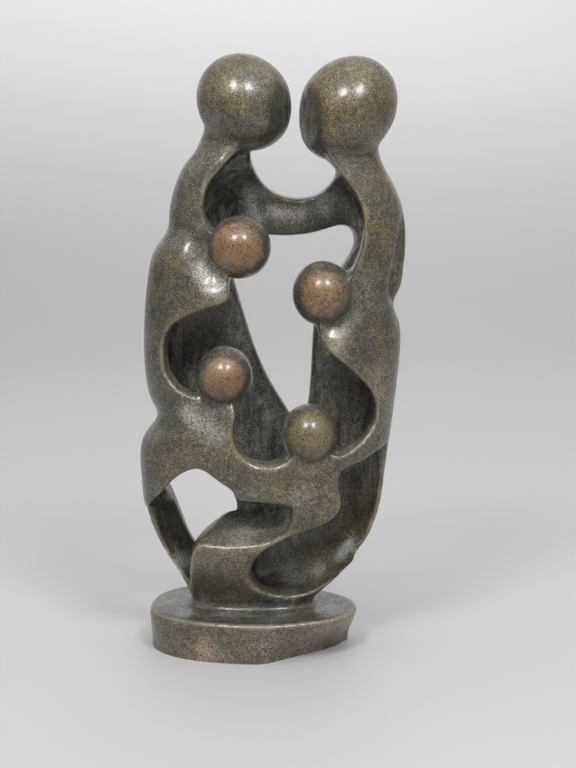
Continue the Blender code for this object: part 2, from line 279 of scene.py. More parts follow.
@dataclass(frozen=True)
class WaxedSerpentine:
    """Dark olive stone, grained and freckled all over, polished and waxed, with shade and the wax's
    highlights painted into its colour.
    """

    name: str = "waxed_serpentine"

    pepper: Colour = (0.014, 0.013, 0.011)
    olive: Colour = (0.118, 0.090, 0.046)
    moss: Colour = (0.088, 0.084, 0.058)
    # pale grain, also laid on the crests as wear and as painted highlight
    salt_and_edge_highlight: Colour = (0.420, 0.365, 0.215)
    # the pale grey of the painted highlights on the wax
    painted_sheen_grey: Colour = (0.620, 0.620, 0.570)
    ochre: Colour = (0.190, 0.125, 0.045)
    amber: Colour = (0.235, 0.110, 0.038)
    tan: Colour = (0.225, 0.150, 0.070)
    honey: Colour = (0.165, 0.126, 0.056)
    # pale red stain, also painted light on the plinth's side
    rust_and_painted_light: Colour = (0.400, 0.280, 0.200)
    # darker plum of the rims round the caps, also used as painted shade in the valleys round the
    # children's heads
    plum_rim_and_shade: Colour = (0.070, 0.062, 0.056)
    # the stone's darker, greyer tones in shade, painted into the hollows as painted shade
    shade_char: Colour = (0.028, 0.030, 0.028)
    shade_ash: Colour = (0.265, 0.267, 0.240)
    # near black, for the painted shade, the stone's random darker clouds and the darker plinth top
    painted_shade_and_darkening: Colour = (0.030, 0.029, 0.026)

    cloud: Cloud = Cloud(42.0, 4.0, 0.62)
    drift: Cloud = Cloud(21.0, 3.0, 0.55, shift=3.1)
    smoke: Cloud = Cloud(54.6, 4.0, 0.65, shift=14.2)
    flush: Cloud = Cloud(110.0, 2.0, shift=9.4)
    streak: Cloud = Cloud(210.0, 4.0, 0.7, stretch=(1.0, 1.0, 0.22), shift=7.9)
    wear: Cloud = Cloud(71.4, 3.0, 0.6, shift=11.0)
    fine_grain: Cloud = Cloud(1500.0, 4.0, 0.75, shift=1.7)
    coarse_grain: Cloud = Cloud(450.0, 3.0, 0.75, shift=5.3)
    ripple: Cloud = Cloud(130.0, 2.0, 0.5, shift=2.3)

    moss_span: Span = (0.44, 0.58)
    smoke_span: Span = (0.50, 0.74)
    tan_span: Span = (0.42, 0.66)
    shade_ash_span: Span = (0.43, 0.62)
    hollow_span: Span = (0.28, 0.66)
    pepper_span: Span = (0.495, 0.545)
    salt_span: Span = (0.39, 0.45)
    crest_span: Span = (0.2, 0.9)

    stain_least: float = 0.3
    stain_gain: float = 1.3
    shade_least: float = 0.45
    shade_gain: float = 1.1
    darkening_off_caps: float = 0.7
    vein_level: float = 0.42
    vein_strength: float = 1.6
    smoke_strength: float = 0.6
    ring_share: float = 0.55
    moss_share: float = 0.85
    cap_share: float = 0.95
    honey_share: float = 0.9
    hollow_share: float = 0.92
    crest_share: float = 0.45
    salt_share: float = 0.85
    salt_strength: float = 0.6
    pepper_share: float = 0.95
    streak_share: float = 0.65
    coarse_share: float = 0.2
    wear_share: float = 0.16

    salt_off_warm: float = 0.60
    pepper_off_warm: float = 0.1
    pepper_off_painted_sheen: float = 0.35
    crest_off_hollow: float = 0.5
    painted_sheen_gain: float = 1.9
    painted_sheen_off_speck: float = 1.8

    roughness: float = 0.37
    rough_pepper: float = 0.16
    rough_wear: float = 0.14
    smooth_crest: float = 0.06
    smooth_painted_sheen: float = 0.08
    refraction: float = 1.52
    wax: float = 0.60
    wax_roughness: float = 0.21
    bump_strength: float = 0.2
    bump_depth: float = 0.0005
    ripple_strength: float = 1.5

    def stains_and_shade(self, bench: Bench, cloud: Signal, drift: Signal) -> tuple[Signal, Signal, Signal]:
        """Where the stone is stained, and where shade and light are painted, broken up by its clouds.

        Args:
            bench: the material that it is made in.
            cloud: the small clouds.
            drift: the large clouds.

        Returns:
            The shares of ochre, of rust with painted light, and of painted shade with darker clouds.
        """
        veins = (self.vein_level - cloud) * self.vein_strength
        ochre = bench.mask("ochre") * (self.stain_least + cloud * self.stain_gain) + veins
        rust_and_painted_light = bench.mask("rust_and_painted_light") * (self.stain_least + drift * self.stain_gain)
        smoke = bench.noise(self.smoke).step(self.smoke_span) * self.smoke_strength
        # painted shade from the listed patches, with random darker clouds of the stone added
        painted_shade_and_darkening = bench.mask("painted_shade_and_darkening") * (self.shade_least + cloud * self.shade_gain) + smoke
        return ochre.clamped(), rust_and_painted_light.clamped(), painted_shade_and_darkening.clamped()

    def body(self, bench: Bench) -> tuple[bpy.types.NodeSocket, Signal]:
        """The colour under the freckles, and how much painted shade darkens its hollows.

        Args:
            bench: the material that it is made in.

        Returns:
            The colour's socket and the share of painted shade in the hollows.
        """
        cloud, drift = bench.noise(self.cloud), bench.noise(self.drift)
        cap = bench.mask("cap")
        ochre, rust_and_painted_light, painted_shade_and_darkening = self.stains_and_shade(bench, cloud, drift)
        stone = bench.mix(drift.step(self.moss_span) * self.moss_share, self.olive, self.moss)
        # rims round the caps, partly the stone's own darker tone and partly painted shade where the
        # heads turn away, with painted shade in the valleys round them
        stone = bench.mix(bench.mask("ring") * self.ring_share, stone, self.plum_rim_and_shade)
        stone = bench.mix(bench.mask("honey") * self.honey_share, stone, self.honey)
        warm = bench.mix(bench.noise(self.flush).step(self.tan_span), self.amber, self.tan)
        stone = bench.mix(cap * self.cap_share, stone, warm)
        stone = bench.mix(ochre, stone, self.ochre)
        stone = bench.mix(rust_and_painted_light, stone, self.rust_and_painted_light)
        stone = bench.mix(painted_shade_and_darkening * (1 - cap * self.darkening_off_caps), stone, self.painted_shade_and_darkening)
        mottle = bench.noise(self.streak) * self.streak_share + cloud * (1 - self.streak_share)
        # painted shade: the hollows, found by how much sky each point loses, take the tones of the stone
        # in shade
        deep = bench.mix(mottle.step(self.shade_ash_span), self.shade_char, self.shade_ash)
        hollow = bench.mask("hollow").step(self.hollow_span)
        return bench.mix(hollow * self.hollow_share, stone, deep), hollow

    def make(self) -> bpy.types.Material:
        """Builds the material.

        Returns:
            The material.
        """
        bench = Bench(bpy.data.materials.new(self.name))
        wear = bench.noise(self.wear) - 0.5
        grain = bench.noise(self.fine_grain) * (1 - self.coarse_share)
        speck = grain + bench.noise(self.coarse_grain) * self.coarse_share + wear * self.wear_share
        dark = speck.step(self.pepper_span)
        light = 1 - speck.step(self.salt_span)
        crest = bench.mask("crest").step(self.crest_span)
        painted_sheen = bench.mask("painted_sheen")
        warm = (bench.mask("cap") + bench.mask("honey")).clamped()

        stone, hollow = self.body(bench)
        pale = bench.mix(self.salt_strength, stone, self.salt_and_edge_highlight)
        salted = light * (self.salt_share - warm * self.salt_off_warm)
        painted_shine = (painted_sheen * (self.painted_sheen_gain - speck * self.painted_sheen_off_speck)).clamped()
        peppered = dark * (self.pepper_share - warm * self.pepper_off_warm
                           - painted_sheen * self.pepper_off_painted_sheen)
        # the crests are paled: partly wear, partly painted highlight where the edges catch the light
        rubbed_and_highlit_edge = crest * (1 - hollow * self.crest_off_hollow) * self.crest_share
        stone = bench.mix(salted, stone, pale)
        # painted highlight: the wax's reflections laid on as pale patches
        stone = bench.mix(painted_shine, stone, self.painted_sheen_grey)
        stone = bench.mix(peppered, stone, self.pepper)
        stone = bench.mix(rubbed_and_highlit_edge, stone, self.salt_and_edge_highlight)
        bench.feed(bench.shader.inputs["Base Color"], stone)

        rougher = dark * self.rough_pepper + wear * self.rough_wear
        smoother = crest * self.smooth_crest + painted_sheen * self.smooth_painted_sheen
        bench.feed(bench.shader.inputs["Roughness"],
                   (self.roughness + rougher - smoother).clamped())
        bench.shader.inputs["IOR"].default_value = self.refraction
        bench.shader.inputs["Coat Weight"].default_value = self.wax
        bench.shader.inputs["Coat Roughness"].default_value = self.wax_roughness

        relief = speck + bench.noise(self.ripple) * self.ripple_strength
        bump = bench.node(
            "ShaderNodeBump", {},
            {"Strength": self.bump_strength, "Distance": self.bump_depth, "Height": relief},
        )
        bench.feed(bench.shader.inputs["Normal"], bump.outputs[0])
        return bench.owner


@dataclass(frozen=True)
class Head:
    """One of the egg-shaped heads, as a place and radii in hundredths.

    The shells count in the head's own radii, so that 1 is its surface.
    """

    middle: Triple
    radii: Triple
    tint: Tint = Tint.NONE
    cap_reach: float = 0.0
    cap_turn: float = 0.0
    cap_lift: float = 0.08
    cap_blur: float = 9.0
    cap_shell: Span = (1.12, 1.06)
    collar_shell: Span = (1.60, 1.10)
    skin: float = 0.985
    core: float = 0.5

    def distance(self, spots: np.ndarray) -> np.ndarray:
        """How far out each spot is, where 1 is the head's own surface."""
        return np.linalg.norm((spots - np.array(self.middle)) / np.array(self.radii), axis=1)

    def collar(self, spots: np.ndarray) -> np.ndarray:
        """The valley that sets the head off from the stone around it, from 0 to 1."""
        rise = ramp(self.distance(spots), self.collar_shell)
        return rise * rise * (3 - 2 * rise)

    def keep_round(self, spots: np.ndarray) -> np.ndarray:
        """Moves the spots that lie inside the head out to its surface.

        Args:
            spots: places in hundredths, one row each, which are changed.

        Returns:
            The same places.
        """
        out = self.distance(spots)
        inside = (out < self.skin) & (out > self.core)
        middle = np.array(self.middle)
        spots[inside] = middle + (spots[inside] - middle) * (self.skin / out[inside])[:, None]
        return spots

    def cap(self, spots: np.ndarray, wider: float = 0.0) -> np.ndarray:
        """The worn cap on the head's front, from 0 to 1.

        Args:
            spots: places in hundredths, one row each.
            wider: degrees added to the cap's reach.

        Returns:
            The cap's strength at each spot.
        """
        ray = (spots - np.array(self.middle)) / np.array(self.radii)
        turn = math.radians(self.cap_turn)
        facing = np.array((math.sin(turn), -math.cos(turn), self.cap_lift))
        out = np.linalg.norm(ray, axis=1)
        lean = np.clip(ray @ facing / np.maximum(out, 1e-6), -1, 1)
        reach, half = self.cap_reach + wider, self.cap_blur / 2
        edge = ramp(np.degrees(np.arccos(lean)), (reach + half, reach - half))
        return edge * ramp(out, self.cap_shell)


@dataclass(frozen=True)
class Groove:
    """A soft line cut into, or raised on, a face of the stone.

    The path and the width are in hundredths, across and up. It works on faces that lie
    near one depth, also in hundredths. A negative cut, in metres, raises a ridge.
    """

    path: tuple[tuple[float, float], ...]
    width: float
    cut: float
    depth: float = -10.5
    side: Side = Side.FRONT
    taper: float = 0.25
    least: float = 0.1
    facing_gain: float = 2.2
    near_depth: Span = (5.5, 4.0)

    def pull(self, spots: np.ndarray, normals: np.ndarray) -> np.ndarray:
        """How far each spot sinks.

        Args:
            spots: places in hundredths, one row each.
            normals: the way each spot faces.

        Returns:
            Metres inwards for each spot.
        """
        path = np.array(self.path)
        flat = spots[:, [0, 2]]
        nearest = np.full(len(spots), np.inf)
        along = np.zeros(len(spots))
        for i, (start, end) in enumerate(zip(path, path[1:])):
            run = end - start
            share = np.clip(((flat - start) @ run) / (run @ run), 0, 1)
            gap = np.linalg.norm(flat - (start + share[:, None] * run), axis=1)
            closer = gap < nearest
            nearest[closer] = gap[closer]
            along[closer] = (i + share[closer]) / (len(path) - 1)
        ends = np.clip(np.minimum(along, 1 - along) / self.taper, self.least, 1)
        facing = np.clip(self.side.value * normals[:, 1] * self.facing_gain, 0, 1)
        near = ramp(np.abs(spots[:, 1] - self.depth), self.near_depth)
        return self.cut * np.exp(-((nearest / self.width) ** 2)) * ends * facing * near


PARENTS = (
    Head((-1.3, -1.0, 91.5), (8.1, 9.4, 9.0)),
    Head((16.6, -1.0, 90.4), (8.35, 9.6, 9.9)),
)
CHILDREN = (
    Head((-2.2, -6.6, 66.6), (5.6, 6.2, 5.6), Tint.AMBER, cap_reach=52, cap_turn=-6),
    Head((12.4, -7.0, 58.5), (5.4, 6.2, 5.8), Tint.AMBER, cap_reach=42, cap_turn=-2),
    Head((-5.0, -6.6, 43.7), (5.1, 6.0, 5.4), Tint.AMBER, cap_reach=44),
    Head((10.1, -6.6, 33.1), (5.1, 6.0, 5.6), Tint.HONEY, cap_reach=54, cap_turn=2),
)

GROOVES = (
    # round the first child: the cloak's upper edge, its deep fold and the soft ones beside it
    Groove(((-14.5, 70.0), (-11.0, 71.0), (-8.5, 71.0)), 1.2, 0.0010),
    Groove(((-9.4, 71.4), (-9.1, 68.0), (-8.6, 64.4), (-7.0, 61.6), (-4.4, 59.8)), 2.2, 0.0044),
    Groove(((-13.2, 67.6), (-11.4, 63.6), (-8.8, 60.0), (-5.8, 57.4)), 1.9, -0.0009),
    Groove(((-13.4, 63.5), (-11.8, 60.0), (-10.0, 57.2)), 2.0, 0.0006),
    # beside the second child and under the third
    Groove(((17.4, 62.0), (18.4, 59.4), (17.6, 56.2), (15.2, 53.4), (11.8, 52.2)), 2.0, 0.0022),
    Groove(((-12.6, 42.6), (-9.8, 39.4), (-7.0, 37.0), (-3.4, 35.8)), 2.6, 0.0026),
    Groove(((-14.5, 34.5), (-11.0, 31.5), (-7.0, 29.0)), 2.2, -0.0006),
    # under the fourth child
    Groove(((5.6, 32.6), (7.3, 30.0), (10.2, 29.0), (13.1, 30.0), (14.7, 32.6)), 1.1, 0.0011),
    # on the inner wall: two beside the embrace and one down the rim of the middle hole
    Groove(((-5.8, 79.0), (-5.4, 74.0), (-5.0, 69.0)), 1.3, 0.0010, depth=3.0),
    Groove(((-2.6, 81.0), (-1.2, 75.5), (0.6, 70.5)), 1.9, -0.0010, depth=4.0),
    Groove(((0.4, 45.9), (2.2, 42.0), (4.2, 38.0), (6.2, 34.4)), 0.8, 0.0007, depth=5.0),
    # the bowl's wall, the crests of the arm and the lap, the bowl's lip and its outer rim
    Groove(((12.8, 9.8), (14.6, 13.2), (16.0, 17.5), (16.8, 22.0)), 1.5, 0.0012, depth=0.0),
    Groove(((-2.9, 84.7), (-5.0, 82.4), (-7.0, 80.6), (-8.0, 79.0), (-8.6, 76.8), (-9.4, 74.6)),
           0.55, -0.0006, depth=-7.5),
    Groove(((-7.0, 16.2), (-4.1, 15.4), (-1.0, 15.8), (1.4, 16.8), (3.5, 18.0)), 0.6, -0.0004),
    Groove(((2.0, 8.2), (6.5, 7.2), (12.0, 9.4), (16.0, 12.4)), 0.55, -0.0005, depth=-6.0),
    Groove(((14.6, 7.8), (17.0, 11.2), (18.6, 15.5), (19.4, 20.5)), 1.3, -0.0014, depth=-1.0),
    # the linked arms, seen from behind
    Groove(((-4.0, 79.5), (3.0, 71.0), (12.0, 71.0), (19.0, 79.0)), 2.6, -0.0007, depth=10.5,
           side=Side.BACK),
)

PAINTED_SHEENS: dict[str, tuple[Blot, ...]] = {  # painted highlights: pale patches where the wax would shine with the lamps' reflections
    "cloak": (
        ((-9.2, -10.2, 63.4), 1.9, 0.25), ((-7.8, -10.5, 61.6), 2.0, 0.35),
        ((-5.8, -10.7, 60.0), 2.0, 0.3), ((-8.9, -9.5, 70.3), 1.2, 0.5),
    ),
    "wall beside the embrace": (
        ((-1.6, 5.0, 76.0), 1.1, 0.5), ((-0.9, 5.0, 74.0), 1.2, 0.6), ((-0.1, 5.3, 72.0), 1.2, 0.6),
        ((0.8, 5.5, 70.2), 1.2, 0.4), ((-0.4, 4.6, 79.5), 1.2, 0.35),
    ),
    "linked arms": (
        ((3.2, 5.8, 71.8), 1.1, 0.5), ((4.9, 5.9, 71.5), 1.3, 0.6), ((6.7, 6.0, 71.3), 1.3, 0.6),
        ((8.6, 6.0, 71.4), 1.3, 0.55), ((12.6, 5.4, 72.4), 1.2, 0.35), ((17.4, 1.0, 77.0), 1.4, 0.35),
    ),
    "lip of the left scoop": (((-15.0, -4.5, 46.5), 1.6, 0.2), ((-13.6, -5.0, 42.8), 1.6, 0.25)),
    "rim of the middle hole": (((2.4, 7.3, 33.5), 1.0, 0.5), ((1.2, 7.6, 36.5), 1.0, 0.5)),
    "ring under the third child": (
        ((-9.2, -10.7, 35.7), 2.0, 0.3), ((-11.8, -9.5, 37.4), 1.6, 0.4),
        ((-6.5, -11.3, 34.0), 2.0, 0.25),
    ),
    "lobe under the second child": (
        ((15.6, -10.8, 51.6), 1.8, 0.12), ((14.5, -10.9, 49.0), 1.8, 0.2),
    ),
    "lower left rim": (((-13.6, 2.2, 7.6), 1.8, 0.4),),
    "bowl": (
        ((16.3, 2.3, 8.5), 1.5, 1.0), ((17.8, 2.6, 10.3), 1.5, 1.0), ((8.5, 4.4, 5.0), 2.6, 0.3),
        ((12.2, 3.4, 5.8), 2.2, 0.3), ((5.5, 4.4, 4.6), 1.8, 0.25), ((12.2, 1.7, 4.9), 2.0, 0.3),
        ((8.5, 3.1, 3.5), 2.4, 0.3),
    ),
    "lap and lower body": (
        ((-2.3, -7.6, 14.9), 3.6, 0.2), ((1.3, -5.8, 16.3), 2.8, 0.2), ((8.4, -11.4, 22.3), 2.2, 0.15),
    ),
}
PAINTED_SHADE: dict[str, tuple[Blot, ...]] = {  # painted shade: dark patches in the folds, the embrace, under the lap, bowl and foot, and on the sides turned from the lamps
    "folds of the cloak": (
        ((-9.6, -9.5, 67.5), 2.4, 0.7), ((-8.8, -10.0, 65.0), 1.7, 0.6), ((-5.2, -10.5, 60.9), 1.3, 0.5),
    ),
    "left arm and side": (
        ((-8.2, -7.0, 80.0), 3.0, 0.35), ((-9.5, -7.0, 77.0), 5.0, 0.4), ((-1.0, -6.0, 84.0), 4.0, 0.5),
        ((-16.0, -7.0, 57.0), 4.0, 0.45), ((-17.0, -6.0, 52.0), 8.0, 0.3),
    ),
    "right arm and side": (
        ((18.5, -10.5, 53.5), 2.5, 0.5), ((20.0, -9.5, 49.0), 3.0, 0.35), ((25.0, -5.0, 62.0), 4.0, 0.4),
        ((22.0, -7.0, 68.0), 5.0, 0.2), ((16.0, -6.0, 82.5), 4.0, 0.45),
    ),
    "facing sides of the parents": (
        ((4.2, -7.5, 88.0), 3.6, 0.45), ((10.2, -7.5, 88.0), 3.6, 0.45), ((6.4, -4.0, 90.5), 3.2, 0.8),
    ),
    "embrace": (
        ((2.0, 5.6, 73.5), 1.0, 0.7), ((10.8, 5.9, 71.8), 1.0, 0.7), ((-3.6, 4.5, 74.0), 2.0, 0.5),
        ((-6.5, 2.0, 77.0), 3.0, 0.5),
    ),
    "lower ring": (
        ((-9.0, -10.5, 39.5), 1.8, 0.45), ((15.8, -10.3, 30.5), 2.4, 0.6),
        ((-2.5, -11.0, 26.0), 2.5, 0.35), ((-10.0, -9.0, 33.0), 6.0, 0.4),
        ((-12.0, -10.0, 24.5), 2.5, 0.3), ((4.5, -11.0, 27.0), 1.6, 0.3),
    ),
    "lap and leg": (
        ((-3.5, -6.5, 16.0), 3.6, 0.75), ((0.5, -5.5, 18.5), 2.6, 0.8), ((-7.5, -8.0, 6.0), 3.5, 0.25),
    ),
    "lower left rim": (((-15.5, 3.7, 14.8), 3.5, 0.3),),
    "bowl": (((8.5, 5.6, 10.8), 3.2, 0.7), ((13.0, 5.5, 13.5), 2.8, 0.6)),
    "foot": (
        ((-3.0, -6.0, 1.5), 3.6, 0.8), ((3.0, -5.5, 1.0), 3.6, 0.8), ((9.0, -5.0, 1.8), 3.6, 0.8),
        ((13.5, -3.0, 3.0), 2.6, 0.6),
    ),
}
OCHRE: dict[str, tuple[Blot, ...]] = {  # where the stone is yellower
    "heads": (
        ((-1.0, -12, 68.5), 2.6, 0.8), ((-4.0, -8, 92), 5.0, 0.6), ((15.5, -8, 92), 6.0, 0.6),
        ((14.0, -8, 88), 4.0, 0.4),
    ),
    "left side": (((-15.5, -9, 58), 3.5, 0.5), ((-14.0, -9, 53), 2.5, 0.5)),
    "right side": (
        ((19.5, -10, 71), 2.5, 0.8), ((20.0, -10, 66), 2.0, 0.5), ((12.8, -10, 49), 2.5, 0.7),
        ((15.5, -10, 46), 2.0, 0.4), ((22.0, -8, 48), 5.0, 0.25),
    ),
    "lower body": (
        ((8.0, -11, 24), 5.0, 0.4), ((0.0, -11, 25), 4.0, 0.35), ((5.0, -11, 20), 2.0, 0.6),
        ((-12.0, -10, 30), 4.0, 0.35), ((9.0, -3, 10), 3.0, 0.4),
    ),
}
RUST_AND_PAINTED_LIGHT: dict[str, tuple[Blot, ...]] = {  # where the stone is redder; on the plinth's side the pale red is also painted light, lifting a side that the lamps leave dim
    "plinth": (((12.0, -9, -3), 5.5, 1.0), ((-9.0, -12, -6), 3.0, 0.8), ((2.0, -13, -4), 3.5, 0.5)),
    "right side": (((24.0, -8, 42), 4.0, 0.35),),
    "leg": (((-5.0, -9, 13), 3.5, 0.3),),
}
SHADE_LIFTS: dict[str, tuple[Blot, ...]] = {  # hollows where less painted shade is laid, so they keep more of the outside's colour
    "bowl": (
        ((9.0, 4.0, 4.5), 5.0, 0.95), ((16.0, 3.5, 9.0), 4.0, 0.6), ((19.0, 4.0, 17.0), 4.0, 0.6),
        ((7.0, 3.5, 4.0), 4.0, 0.5),
    ),
    "lap and leg": (
        ((-6.0, -9.0, 15.5), 6.5, 0.7), ((0.0, -9.0, 16.0), 3.5, 0.5), ((-3.0, -7.5, 7.0), 5.0, 0.6),
    ),
    "linked arms": (((2.0, 5.0, 73.0), 3.0, 0.35), ((8.0, 6.0, 71.5), 3.0, 0.35)),
    "lower left rim": (((-15.0, 2.0, 14.0), 4.0, 0.5),),
    "rim of the middle hole": (((4.0, 4.0, 36.5), 2.5, 0.4),),
    "left scoop": (
        ((-15.3, -4.5, 47.0), 2.4, 0.6), ((-13.8, -5.0, 43.2), 2.4, 0.6), ((-8.0, 4.0, 50.0), 5.0, 0.35),
    ),
}
DENTS: dict[str, tuple[Blot, ...]] = {  # what is worn away
    "plinth's right corner": (((18.8, -0.3, -7.2), 3.4, 1.0),),
    "rim under the bowl": (((18.8, 0.0, 8.5), 1.8, 0.25),),
}
ROUGH_SPOTS = (  # corners of the solid that are eased more than the rest: a middle and a reach
    ((18.2, 0.0, 9.2), 4.0), ((-19.3, -2.5, 18.8), 3.6), ((-19.0, -6.0, 20.0), 2.5),
)


@dataclass
class CarvedFamily:
    """The whole carving, one piece of stone."""

    node: str = "family_group"
    slot: str = "serpentine"
    name: str = "polished_family_group"
    merge_gap: float = 0.00001
    sole_gap: float = 0.0002
    sole_drop: float = 0.004
    sole_height: float = 0.00002
    skin_levels: int = 2
    grain: float = 0.0014
    easing: float = 0.5
    easing_passes: int = 5
    rough_passes: int = 26
    collar_depth: float = 0.0022
    dent_depth: float = 0.0045
    front_gain: float = 2.0
    front_lift: float = 0.4
    head_clearance: Span = (0.98, 1.08)
    valley_inner: Span = (1.0, 1.08)
    valley_outer: Span = (1.9, 1.6)
    valley_easing: float = 0.25
    rays: int = 18
    ray_start: float = 0.0006
    ray_reach: float = 0.085
    ray_passes: int = 3
    crest_height: float = 0.0005
    crest_passes: int = 4
    ring_width: float = 55.0
    valley_shade: float = 0.6
    plinth_top_darkening: float = 0.9
    plinth_facing: float = 0.6
    plinth_limit: float = 0.8
    plinth_passes: int = 3
    crease: float = 55.0
    finish: WaxedSerpentine = field(default_factory=WaxedSerpentine)

    def copy_solid(self, frame: dict[str, Any]) -> bpy.types.Object:
        """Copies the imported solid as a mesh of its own, merged into one skin.

        Args:
            frame: what the frame's loading gave.

        Returns:
            The new piece, with its sole pushed down to be cut off later.
        """
        bpy.ops.object.select_all(action="DESELECT")
        piece = bpy.data.objects.new(self.name, frame["nodes"][self.node].data.copy())
        bpy.context.scene.collection.objects.link(piece)
        piece.select_set(True)
        bpy.context.view_layer.objects.active = piece
        bpy.ops.object.mode_set(mode="EDIT")
        bpy.ops.mesh.select_all(action="SELECT")
        bpy.ops.mesh.remove_doubles(threshold=self.merge_gap)
        bpy.ops.object.mode_set(mode="OBJECT")
        for vert in piece.data.vertices:
            if vert.co.z < self.sole_gap:
                vert.co.z -= self.sole_drop
        return piece

    def refine(self, piece: bpy.types.Object) -> None:
        """Reads the facets as a smooth skin of fine, even faces.

        Args:
            piece: the active object.
        """
        skin = piece.modifiers.new("skin", "SUBSURF")
        skin.levels = self.skin_levels
        skin.render_levels = self.skin_levels
        grain = piece.modifiers.new("grain", "REMESH")
        grain.mode = "VOXEL"
        grain.voxel_size = self.grain
        ease = piece.modifiers.new("ease", "SMOOTH")
        ease.factor = self.easing
        ease.iterations = self.easing_passes
        for made in (skin, grain, ease):
            bpy.ops.object.modifier_apply(modifier=made.name)

    def read(self, piece: bpy.types.Object) -> tuple[np.ndarray, np.ndarray]:
        """Reads the piece's points.

        Args:
            piece: the object.

        Returns:
            The points' places in metres, and the ways they face.
        """
        mesh = piece.data
        count = len(mesh.vertices)
        places = np.empty(count * 3)
        normals = np.empty(count * 3)
        mesh.vertices.foreach_get("co", places)
        mesh.vertices.foreach_get("normal", normals)
        return places.reshape(-1, 3), normals.reshape(-1, 3)

    def spots(self, places: np.ndarray) -> np.ndarray:
        """Places in metres as hundredths of the figure."""
        return (places - PLINTH_TOP) / UNIT

    def patches(self, spots: np.ndarray, blots: dict[str, tuple[Blot, ...]]) -> np.ndarray:
        """Soft patches on the stone.

        Args:
            spots: places in hundredths, one row each.
            blots: the patches, by where they are.

        Returns:
            The patches' strength at each spot, from 0 to 1.
        """
        total = np.zeros(len(spots))
        for group in blots.values():
            for middle, reach, strength in group:
                gap = np.linalg.norm(spots - np.array(middle), axis=1)
                total += strength * np.exp(-((gap / reach) ** 2))
        return np.clip(total, 0, 1)

    def spread(self, piece: bpy.types.Object, values: np.ndarray, passes: int) -> np.ndarray:
        """Evens out one value over the skin.

        Args:
            piece: the object whose edges carry it.
            values: one number for each point.
            passes: how many times each point meets its neighbours.

        Returns:
            The evened values.
        """
        edges = np.empty(len(piece.data.edges) * 2, dtype=np.int64)
        piece.data.edges.foreach_get("vertices", edges)
        first, second = edges[0::2], edges[1::2]
        count = np.bincount(first, minlength=len(values)) + np.bincount(second, minlength=len(values))
        for _ in range(passes):
            total = np.bincount(first, values[second], len(values))
            total += np.bincount(second, values[first], len(values))
            values = 0.5 * values + 0.5 * total / np.maximum(count, 1)
        return values

    def sinking(self, spots: np.ndarray, normals: np.ndarray) -> np.ndarray:
        """How deep the relief is: the soft lines, the dents and the collars.

        Args:
            spots: places in hundredths, one row each.
            normals: the way each spot faces.

        Returns:
            Metres inwards for each spot.
        """
        clear = np.min([head.distance(spots) for head in (*PARENTS, *CHILDREN)], axis=0)
        sink = sum(groove.pull(spots, normals) for groove in GROOVES)
        sink *= ramp(clear, self.head_clearance)
        sink += self.patches(spots, DENTS) * self.dent_depth
        front = np.clip(-normals[:, 1] * self.front_gain + self.front_lift, 0, 1)
        for head in CHILDREN:
            sink += head.collar(spots) * self.collar_depth * front
        return sink

    def smooth(self, piece: bpy.types.Object, places: np.ndarray) -> np.ndarray:
        """Eases the rough spots, and a little also the valleys round the children's heads.

        Args:
            piece: the object whose edges join the points.
            places: the points' places in metres.

        Returns:
            The eased places.
        """
        spots = self.spots(places)
        ease = sum(np.exp(-((np.linalg.norm(spots - np.array(middle), axis=1) / reach) ** 4))
                   for middle, reach in ROUGH_SPOTS)
        near_heads = np.min([head.distance(spots) for head in CHILDREN], axis=0)
        valley = ramp(near_heads, self.valley_inner) * ramp(near_heads, self.valley_outer)
        ease = np.clip(ease + valley * self.valley_easing, 0, 1)[:, None]
        for _ in range(self.rough_passes):
            mean = np.stack([self.spread(piece, places[:, k], 1) for k in range(3)], axis=1)
            places += (mean - places) * ease
        return places

    def relieve(self, piece: bpy.types.Object) -> None:
        """Cuts the collars around the children's heads and the soft lines.

        Args:
            piece: the object, whose points are moved.
        """
        places, normals = self.read(piece)
        sink = self.sinking(self.spots(places), normals)
        spots = self.spots(places - normals * sink[:, None])
        for head in CHILDREN:
            spots = head.keep_round(spots)
        places = self.smooth(piece, spots * UNIT + PLINTH_TOP)
        piece.data.vertices.foreach_set("co", places.ravel())
        piece.data.update()

    def stand(self, piece: bpy.types.Object) -> None:
        """Cuts the underside flat, so that it stands with a crisp edge.

        Args:
            piece: the active object.
        """
        bpy.ops.object.mode_set(mode="EDIT")
        bpy.ops.mesh.select_all(action="SELECT")
        bpy.ops.mesh.bisect(plane_co=(0, 0, self.sole_height), plane_no=(0, 0, 1), use_fill=True,
                            clear_inner=True)
        bpy.ops.object.mode_set(mode="OBJECT")
        for vert in piece.data.vertices:
            vert.co.z = max(vert.co.z, self.sole_height)

    def dome(self) -> list[Vector]:
        """Evenly spread directions over the half of the sky that a point faces.

        Returns:
            The directions, for a point that faces up.
        """
        golden = math.pi * (3 - math.sqrt(5))
        rays = []
        for k in range(self.rays):
            up = math.sqrt(1 - (k + 0.5) / self.rays)
            flat = math.sqrt(1 - up * up)
            rays.append(Vector((flat * math.cos(golden * k), flat * math.sin(golden * k), up)))
        return rays

    def hollowness(self, piece: bpy.types.Object) -> np.ndarray:
        """How much of its view each point loses to the stone around it.

        Args:
            piece: the object.

        Returns:
            The share that is lost at each point, from 0 to 1.
        """
        places, normals = self.read(piece)
        tree = BVHTree.FromPolygons(
            [Vector(p) for p in places], [tuple(f.vertices) for f in piece.data.polygons],
        )
        rays = self.dome()
        lost = np.zeros(len(places))
        for i, (place, normal) in enumerate(zip(places, normals)):
            facing = Vector(normal)
            turn = facing.to_track_quat("Z", "Y")
            start = Vector(place) + facing * self.ray_start
            hits = (tree.ray_cast(start, turn @ ray, self.ray_reach) for ray in rays)
            lost[i] = sum(hit[0] is not None for hit in hits) / self.rays
        return self.spread(piece, lost, self.ray_passes)

